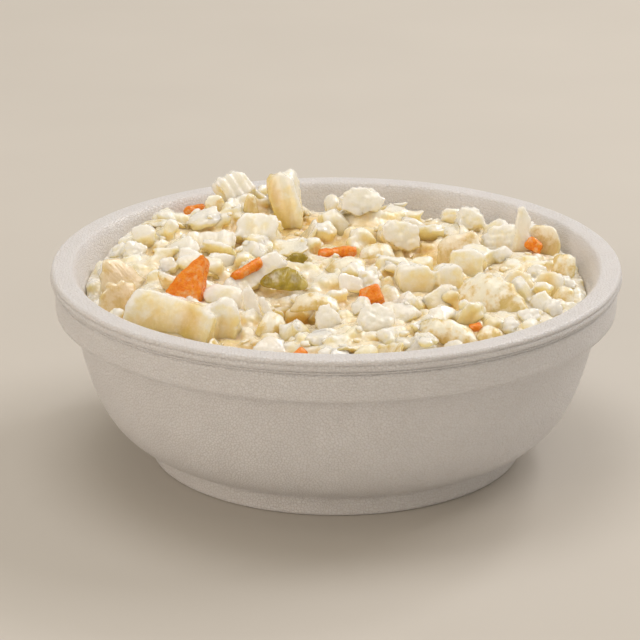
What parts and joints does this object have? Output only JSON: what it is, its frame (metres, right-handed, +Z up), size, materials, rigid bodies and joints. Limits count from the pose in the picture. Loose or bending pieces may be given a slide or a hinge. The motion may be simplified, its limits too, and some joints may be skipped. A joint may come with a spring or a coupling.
{
  "type": "bowl of coleslaw",
  "caption": "Heaped creamy coleslaw of chopped cabbage with carrot bits, served in a low round white foam bowl with a rolled lip, a plain band and a ring foot.",
  "frame": {"origin": "middle of the round area that the bowl's foot encloses, on the surface that it stands on", "axes": "+Z up along the bowl's axis, -Y towards the side that is seen, +X to the right of it"},
  "size_m": [0.118, 0.118, 0.0492],
  "materials": {
    "white_foam": "matt white bead foam with a fine cell pattern",
    "dressed_cabbage": "chopped cabbage wet with a glossy cream dressing",
    "cabbage_leaf": "glassy pale green cabbage leaf under thin dressing",
    "green_leaf": "wet olive green outer leaf",
    "carrot": "wet cut carrot with a fine grain"
  },
  "bodies": {
    "root": {"foam_bowl": "white_foam", "coleslaw": "dressed_cabbage"}
  },
  "joints": []
}
